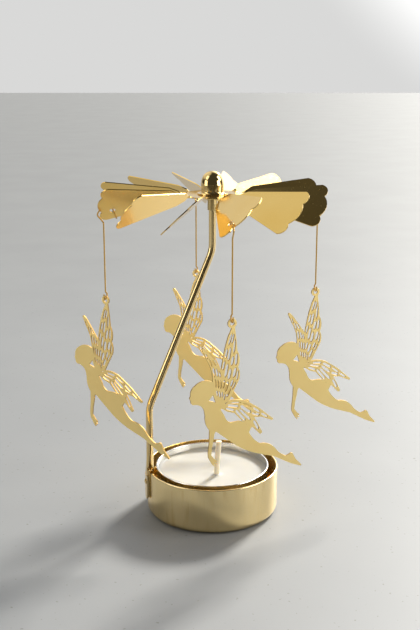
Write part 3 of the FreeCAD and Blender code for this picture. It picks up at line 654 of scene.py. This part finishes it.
def ground_steel():
    """Hardened steel, ground bright: a cold grey gloss broken by small marks, drawn
    coarser than real ones to show."""
    material, tree, shader, place = start_material("ground_steel")
    marks = add_node(tree, "ShaderNodeTexNoise", {
        "Scale": 1 / steel_mark_size, "Detail": 3,
    }, {"Vector": place})
    gloss = add_node(tree, "ShaderNodeMapRange", {
        "From Min": 0.3, "From Max": 0.7, "To Min": 0.15, "To Max": 0.3,
    }, {"Value": marks.outputs["Fac"]})
    shader.inputs["Base Color"].default_value = linear_colour(steel_grey)
    shader.inputs["Metallic"].default_value = 1
    tree.links.new(gloss.outputs["Result"], shader.inputs["Roughness"])
    return material


collar = turn_profile("mast_collar", round_profile([
    (collar_bore, collar_low.z, 0),
    (collar_radius, collar_low.z, collar_chamfer),
    (collar_radius, collar_high.z, collar_chamfer),
    (collar_bore, collar_high.z, collar_chamfer),
    (collar_bore, collar_low.z, 0),
]), collar_segments)
dress(collar, turned_grey_gold())
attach(collar, "stand")
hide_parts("collar")

steel = ground_steel()
repaint("needle", steel)
repaint("bearing_cup", steel)


# The rotor: one stamping of thin mirror bright brass sheet. Its hub is flat, and each
# of the twelve scalloped blades is twisted at its neck to catch the rising air.
blade_light = "#FBD888"
blade_deep = "#F5CC70"
blade_wave_size = 11 * mm
blade_wave_depth = 0.03 * mm
# Drawn coarser than real dust, like the mast's.
blade_speck_size = 0.5 * mm
blade_easing = 0.05 * mm


def mirror_sheet():
    """Bright brass sheet: a mirror with faint rolling waves and a few duller specks of
    dust."""
    material, tree, shader, place = start_material("mirror_brass_sheet")
    waves = add_node(tree, "ShaderNodeTexNoise", {
        "Scale": 1 / blade_wave_size, "Detail": 1,
    }, {"Vector": place})
    tint = add_node(tree, "ShaderNodeMix", {
        "data_type": "RGBA",
        "A": linear_colour(blade_deep), "B": linear_colour(blade_light),
    }, {"Factor": waves.outputs["Fac"]})
    specks = add_node(tree, "ShaderNodeTexNoise", {
        "Scale": 1 / blade_speck_size, "Detail": 2,
    }, {"Vector": place})
    gloss = add_node(tree, "ShaderNodeMapRange", {
        "From Min": 0.66, "From Max": 0.76, "To Min": 0.14, "To Max": 0.3,
    }, {"Value": specks.outputs["Fac"]})
    relief = add_node(tree, "ShaderNodeBump", {
        "Strength": 0.1, "Distance": blade_wave_depth,
    }, {"Height": waves.outputs["Fac"]})
    shader.inputs["Metallic"].default_value = 1
    tree.links.new(tint.outputs["Result"], shader.inputs["Base Color"])
    tree.links.new(gloss.outputs["Result"], shader.inputs["Roughness"])
    tree.links.new(relief.outputs["Normal"], shader.inputs["Normal"])
    return material


rotor = clean_copy("rotor", "bladed_rotor")
ease_edges(rotor, blade_easing)
dress(rotor, mirror_sheet(), smooth_under=50)
keep_flats_flat(rotor)
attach(rotor, "pinwheel")
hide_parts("rotor")


# The dome cap: a deep drawn thimble of brass sheet, polished like a mirror, over the
# needle's bearing. Its flange lies on the hub, and three tabs are bent out under it.
dome_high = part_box("dome_cap")[1]
dome_radius = 3.8 * mm
dome_straight = 2.9 * mm
dome_rings = 8
dome_fullness = 4
dome_crown_point = 0.01 * mm
dome_easing = 0.06 * mm
dome_light = "#F6DA9A"
dome_deep = "#EBC57C"
dome_dullness = 0.04
dome_waviness = 0.03


def draw_dome(piece):
    """Draws the thimble in one smooth curve from its foot to its crown, with no break
    where the straight wall meets the round top. The piece is the active one."""
    shoulder = dome_high.z - dome_radius
    foot = shoulder - dome_straight
    bpy.ops.object.mode_set(mode="EDIT")
    for ring in range(1, dome_rings):
        cut = foot + dome_straight * ring / dome_rings
        bpy.ops.mesh.select_all(action="SELECT")
        bpy.ops.mesh.bisect(plane_co=(0, 0, cut), plane_no=(0, 0, 1))
    bpy.ops.object.mode_set(mode="OBJECT")
    for vertex in piece.data.vertices:
        if vertex.co.z <= foot:
            continue
        rise = (vertex.co.z - foot) / (dome_high.z - foot)
        over = max(0, vertex.co.z - shoulder)
        plain = math.sqrt(max(dome_radius ** 2 - over ** 2, dome_crown_point ** 2))
        smooth = dome_radius * math.sqrt(max(0, 1 - rise ** dome_fullness))
        vertex.co.x *= smooth / plain
        vertex.co.y *= smooth / plain


dome = clean_copy("dome_cap", "drawn_dome")
draw_dome(dome)
ease_edges(dome, dome_easing)
dome_plate = polished_gold(
    "mirror_gold_dome", dome_light, dome_deep, dome_dullness, dome_waviness)
dress(dome, dome_plate, smooth_under=50)
keep_flats_flat(dome)
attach(dome, "pinwheel")
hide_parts("dome_cap")


# The hangers: bent from one length of brass wire each, with a crook through the hole
# of a blade and a long eye through the ring of a fairy.
sides = ("right", "back", "left", "front")
wire_light = "#E9C477"
wire_deep = "#D6A850"
wire_dullness = 0.16

wire_gold = polished_gold("brass_wire", wire_light, wire_deep, wire_dullness)
for side in sides:
    repaint("hanger_wire_" + side, wire_gold)


# The fairies: etched from brass sheet and left satin. Each is one flat figure with
# pierced wings and a ring at the tip of the tallest wing.
fairy_light = "#FFE59E"
fairy_deep = "#FADB90"
# The edge tones are painted shade: the walls of the sheet are darker than its faces.
shaded_edge_light = "#BE9A58"
shaded_edge_deep = "#A58348"
# Real etching leaves a grain of about 0.03 mm, so these are drawn coarser to show.
fairy_grain_size = 0.22 * mm
fairy_grain_depth = 0.02 * mm
fairy_cloud_size = 12 * mm
edge_bite_size = 0.18 * mm
fairy_easing = 0.07 * mm
# A vein opening has six walls. Each is etched out sideways, blunted and then lengthened
# by these, or by the largest share of them that leaves the thinnest vein beside it.
vein_walls = 6
vein_side_growth = 0.16 * mm
vein_tip_growth = 0.3 * mm
vein_tip_width = 0.02 * mm
vein_blunting = 0.6
vein_growth_steps = (1, 0.8, 0.6, 0.4, 0.2, 0)
vein_wall_shares = (0, 0.2, 0.35, 0.5, 0.65, 0.8, 1)
thinnest_vein = 0.26 * mm
shortest_vein = 1.6 * mm
# How far a face turns towards the sheet's own direction, 0 to 1: a wall stays under the
# first, and the sheet's flat faces are over the second.
wall_facing = 0.5
sheet_facing = 0.8


def etched_gold():
    """Etched brass with a satin plate: soft sheen, a very fine even grain."""
    material, tree, shader, place = start_material("satin_etched_brass")
    grain = add_node(tree, "ShaderNodeTexNoise", {
        "Scale": 1 / fairy_grain_size, "Detail": 3,
    }, {"Vector": place})
    clouds = add_node(tree, "ShaderNodeTexNoise", {
        "Scale": 1 / fairy_cloud_size, "Detail": 2,
    }, {"Vector": place})
    tint = add_node(tree, "ShaderNodeMix", {
        "data_type": "RGBA",
        "A": linear_colour(fairy_deep), "B": linear_colour(fairy_light),
    }, {"Factor": clouds.outputs["Fac"]})
    gloss = add_node(tree, "ShaderNodeMapRange", {
        "From Min": 0.3, "From Max": 0.7, "To Min": 0.4, "To Max": 0.5,
    }, {"Value": grain.outputs["Fac"]})
    relief = add_node(tree, "ShaderNodeBump", {
        "Strength": 0.3, "Distance": fairy_grain_depth,
    }, {"Height": grain.outputs["Fac"]})
    shader.inputs["Metallic"].default_value = 1
    tree.links.new(tint.outputs["Result"], shader.inputs["Base Color"])
    tree.links.new(gloss.outputs["Result"], shader.inputs["Roughness"])
    tree.links.new(relief.outputs["Normal"], shader.inputs["Normal"])
    return material


def painted_shade_edge():
    """The edges that the etching leaves: matt beside the satin faces, and painted darker as
    shade along every edge and vein, with a random bite in the tone."""
    material, tree, shader, place = start_material("etched_brass_edge_painted_shade")
    bite = add_node(tree, "ShaderNodeTexNoise", {
        "Scale": 1 / edge_bite_size, "Detail": 2,
    }, {"Vector": place})
    tint = add_node(tree, "ShaderNodeMix", {
        "data_type": "RGBA",
        "A": linear_colour(shaded_edge_deep), "B": linear_colour(shaded_edge_light),
    }, {"Factor": bite.outputs["Fac"]})
    shader.inputs["Metallic"].default_value = 1
    shader.inputs["Roughness"].default_value = 0.62
    tree.links.new(tint.outputs["Result"], shader.inputs["Base Color"])
    return material


def wall_rings(piece, sheet_normal):
    """The walls that stand on the sheet, as one list of faces for each closed ring of
    them."""
    owner = {}
    rings = []
    for face in piece.data.polygons:
        if abs(face.normal.dot(sheet_normal)) > wall_facing:
            continue
        touching = [ring for ring in rings
                    if any(owner.get(corner) is ring for corner in face.vertices)]
        joined = [face]
        for ring in touching:
            joined += ring
            rings.remove(ring)
        rings.append(joined)
        for member in joined:
            for corner in member.vertices:
                owner[corner] = joined
    return rings


def wall_points(piece, ring):
    """Points spread over the walls of one ring, along both diagonals of each."""
    points = piece.data.vertices
    for face in ring:
        for end in (0, 1):
            start = points[face.vertices[end]].co
            finish = points[face.vertices[end + 2]].co
            for share in vein_wall_shares:
                yield start.lerp(finish, share)


def move_walls(piece, ring, rings, moves):
    """Moves the corners of one ring as far as its neighbours leave a thin vein beside
    it."""
    points = piece.data.vertices
    others = [tuple(face.vertices)
              for other in rings if other is not ring for face in other]
    neighbours = BVHTree.FromPolygons([point.co for point in points], others)
    start = {corner: points[corner].co.copy() for corner in moves}
    for share in vein_growth_steps:
        for corner, move in moves.items():
            points[corner].co = start[corner] + move * share
        room = min(neighbours.find_nearest(point)[3] for point in wall_points(piece, ring))
        if room >= thinnest_vein:
            break


def open_veins(piece, sheet_normal):
    """Etches the six-walled openings out until thin veins are left: first wider and
    blunter, then longer."""
    points = piece.data.vertices
    rings = wall_rings(piece, sheet_normal)
    for stage in ("sides", "tips"):
        for ring in rings:
            if len(ring) != vein_walls:
                continue
            corners = sorted({corner for face in ring for corner in face.vertices})
            middle = sum((points[corner].co for corner in corners), Vector())
            middle /= len(corners)
            offsets = {corner: points[corner].co - middle for corner in corners}
            along = max(offsets.values(), key=lambda offset: offset.length)
            along = (along - sheet_normal * along.dot(sheet_normal)).normalized()
            aside = along.cross(sheet_normal)
            half_length = max(abs(offset.dot(along)) for offset in offsets.values())
            if half_length < shortest_vein / 2:
                continue
            moves = {}
            for corner, offset in offsets.items():
                forward = offset.dot(along)
                sideways = offset.dot(aside)
                tip = abs(sideways) < vein_tip_width
                if stage == "sides" and not tip:
                    blunter = (half_length - abs(forward)) * vein_blunting
                    moves[corner] = (along * math.copysign(blunter, forward)
                                     + aside * math.copysign(vein_side_growth, sideways))
                if stage == "tips" and tip:
                    moves[corner] = along * math.copysign(vein_tip_growth, forward)
            move_walls(piece, ring, rings, moves)


satin_brass = etched_gold()
shaded_edge_plate = painted_shade_edge()
for side in sides:
    fairy = clean_copy("fairy_" + side, "etched_fairy_" + side)
    broadest = max(fairy.data.polygons, key=lambda face: face.area)
    sheet_normal = broadest.normal.copy()
    open_veins(fairy, sheet_normal)
    ease_edges(fairy, fairy_easing)
    dress(fairy, satin_brass, smooth_under=50)
    # The sheet's walls take the painted shade edge tint.
    fairy.data.materials.append(shaded_edge_plate)
    for face in fairy.data.polygons:
        facing = abs(face.normal.dot(sheet_normal))
        face.material_index = 0 if facing > sheet_facing else 1
    keep_flats_flat(fairy)
    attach(fairy, "fairy_" + side)
    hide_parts("fairy_" + side)


# The floor: plain pale concrete, cast and trowelled smooth. The object stands on it,
# and it isn't part of the object.
floor_width = 8
floor_pale = "#898B8D"
floor_shade = "#7C7E80"
floor_pore = "#63615D"
floor_cloud_size = 60 * mm
floor_pore_size = 1.6 * mm


def pale_floor():
    """Smooth cast concrete, almost plain: slow pale clouds and fine darker pores."""
    material, tree, shader, place = start_material("pale_floor")
    clouds = add_node(tree, "ShaderNodeTexNoise", {
        "Scale": 1 / floor_cloud_size, "Detail": 6,
    }, {"Vector": place})
    tint = add_node(tree, "ShaderNodeMix", {
        "data_type": "RGBA",
        "A": linear_colour(floor_shade), "B": linear_colour(floor_pale),
    }, {"Factor": clouds.outputs["Fac"]})
    pores = add_node(tree, "ShaderNodeTexNoise", {
        "Scale": 1 / floor_pore_size, "Detail": 2,
    }, {"Vector": place})
    pitted = add_node(tree, "ShaderNodeMapRange", {
        "From Min": 0.69, "From Max": 0.74, "To Min": 0, "To Max": 0.8,
    }, {"Value": pores.outputs["Fac"]})
    cast = add_node(tree, "ShaderNodeMix", {
        "data_type": "RGBA", "B": linear_colour(floor_pore),
    }, {"Factor": pitted.outputs["Result"], "A": tint.outputs["Result"]})
    shader.inputs["Roughness"].default_value = 0.55
    tree.links.new(cast.outputs["Result"], shader.inputs["Base Color"])
    return material


bpy.ops.object.select_all(action="DESELECT")
bpy.ops.mesh.primitive_plane_add(size=floor_width, location=(0, 0, 0))
floor = bpy.context.object
floor.name = "floor"
floor.data.materials.append(pale_floor())


# The black flag: a dark sheet on the floor behind the camera, as a studio lays it to keep
# polished metal dark towards the viewer. Only reflections see it: it is a painted dark
# reflection of the room behind the camera.
flag_near = 0.76
flag_far = 3.5
flag_half_width = 2.5
flag_lift = 2 * mm
# These near black tones are a painted dark reflection, seen only in polished metal.
flag_black = "#1C1B1A"
flag_brushed = "#2A2826"
flag_patch_size = 80 * mm


def dark_reflection_sheet():
    """A near black surface for the painted dark reflection: it swallows almost all light
    and is a little uneven at random."""
    material, tree, shader, place = start_material("painted_dark_reflection")
    pile = add_node(tree, "ShaderNodeTexNoise", {
        "Scale": 1 / flag_patch_size, "Detail": 2,
    }, {"Vector": place})
    tint = add_node(tree, "ShaderNodeMix", {
        "data_type": "RGBA",
        "A": linear_colour(flag_black), "B": linear_colour(flag_brushed),
    }, {"Factor": pile.outputs["Fac"]})
    shader.inputs["Roughness"].default_value = 0.9
    tree.links.new(tint.outputs["Result"], shader.inputs["Base Color"])
    return material


bpy.ops.object.select_all(action="DESELECT")
bpy.ops.mesh.primitive_grid_add(x_subdivisions=2, y_subdivisions=2, size=1)
flag = bpy.context.object
flag.name = "black_flag"
for vertex in flag.data.vertices:
    aside = vertex.co.x * 2 * flag_half_width
    away = flag_near + (0.5 - vertex.co.y) * (flag_far - flag_near)
    vertex.co = Vector((aside, -away, flag_lift))
flag.data.materials.append(dark_reflection_sheet())
flag.visible_camera = False
flag.visible_diffuse = False
flag.visible_shadow = False


# The light: low daylight from beyond the object on the right, softened by two boxes and
# two low panels at the sides, in a room that is pale beyond the object and dark behind
# the camera.
light_target = Vector((0, 0, 70 * mm))
# Each has its name, azimuth and elevation in degrees, then distance, width and height
# in metres, power in watts, and colour.
soft_boxes = [
    ("left_box", -112, 40, 0.8, 0.34, 0.44, 0.85, "#FFFFFF"),
    ("right_box", 92, 33, 0.45, 0.2, 0.26, 1, "#FFFFFF"),
    ("left_panel", -112, 9, 0.9, 0.5, 0.3, 1.1, "#FFFDF8"),
    ("right_panel", 112, 9, 0.9, 0.5, 0.3, 2.8, "#FFFDF8"),
]
daylight_azimuth = 32
daylight_elevation = 32
daylight_strength = 6.3
daylight_spread = 11
daylight_white = "#FFFBF2"
room_white = "#F5F5F4"
room_dark = 0.06
# Each has its name, azimuth and elevation, the half angles at which it is full and
# gone, all in degrees, and its strength.
room_parts = [
    ("pale wall", 8, 4, 36, 68, 0.7),
    ("window", 33, 24, 20, 34, 1.5),
    ("upper left", -64, 46, 22, 40, 0.72),
]


def aim(azimuth, elevation):
    """The direction of a point of the room. Azimuth 0 is beyond the object, 90 to the
    right."""
    turn = math.radians(azimuth)
    rise = math.radians(elevation)
    flat = math.cos(rise)
    return Vector((math.sin(turn) * flat, math.cos(turn) * flat, math.sin(rise)))


def soft_box(name, azimuth, elevation, distance, width, height, power, colour):
    """A rectangular light aimed at the object, which the camera doesn't see."""
    away = aim(azimuth, elevation)
    data = bpy.data.lights.new(name, "AREA")
    data.shape = "RECTANGLE"
    data.size = width
    data.size_y = height
    data.energy = power
    data.color = linear_colour(colour)[:3]
    lamp = bpy.data.objects.new(name, data)
    bpy.context.scene.collection.objects.link(lamp)
    lamp.location = light_target + away * distance
    lamp.rotation_euler = away.to_track_quat("Z", "Y").to_euler()
    lamp.visible_camera = False


for box in soft_boxes:
    soft_box(*box)

sun = bpy.data.lights.new("daylight", "SUN")
sun.energy = daylight_strength
sun.angle = math.radians(daylight_spread)
sun.color = linear_colour(daylight_white)[:3]
daylight = bpy.data.objects.new("daylight", sun)
bpy.context.scene.collection.objects.link(daylight)
sunward = aim(daylight_azimuth, daylight_elevation)
daylight.rotation_euler = sunward.to_track_quat("Z", "Y").to_euler()

world = bpy.data.worlds.new("room")
bpy.context.scene.world = world
world.use_nodes = True
room = world.node_tree
direction = add_node(room, "ShaderNodeTexCoord").outputs["Generated"]
level = None
for name, azimuth, elevation, full, gone, strength in room_parts:
    nearness = add_node(room, "ShaderNodeVectorMath", {
        "operation": "DOT_PRODUCT", 1: aim(azimuth, elevation),
    }, {0: direction})
    glow = add_node(room, "ShaderNodeMapRange", {
        "label": name, "interpolation_type": "SMOOTHSTEP",
        "From Min": math.cos(math.radians(gone)), "From Max": math.cos(math.radians(full)),
        "To Min": 0, "To Max": strength,
    }, {"Value": nearness.outputs["Value"]})
    total = add_node(room, "ShaderNodeMath", {"operation": "ADD", 1: room_dark},
                     {0: glow.outputs["Result"]})
    if level is not None:
        room.links.new(level, total.inputs[1])
    level = total.outputs["Value"]
background = room.nodes["Background"]
background.inputs["Color"].default_value = linear_colour(room_white)
room.links.new(level, background.inputs["Strength"])
bpy.context.scene.view_settings.view_transform = "Standard"


# The camera: it stands where the photograph was taken from, a little above the object
# and in front of it, and looks slightly down.
camera_place = (0.46 * mm, -325.84 * mm, 155.87 * mm)
# The next two are in degrees, the lens and the film in millimetres.
camera_dip = 14.71
camera_turn = 0.22
camera_lens = 56.57
camera_film = 36

camera_data = bpy.data.cameras.new("camera")
camera_data.lens = camera_lens
camera_data.sensor_width = camera_film
camera_data.clip_start = 10 * mm
camera = bpy.data.objects.new("camera", camera_data)
bpy.context.scene.collection.objects.link(camera)
camera.location = camera_place
camera.rotation_euler = (math.radians(90 - camera_dip), 0, math.radians(camera_turn))
bpy.context.scene.camera = camera
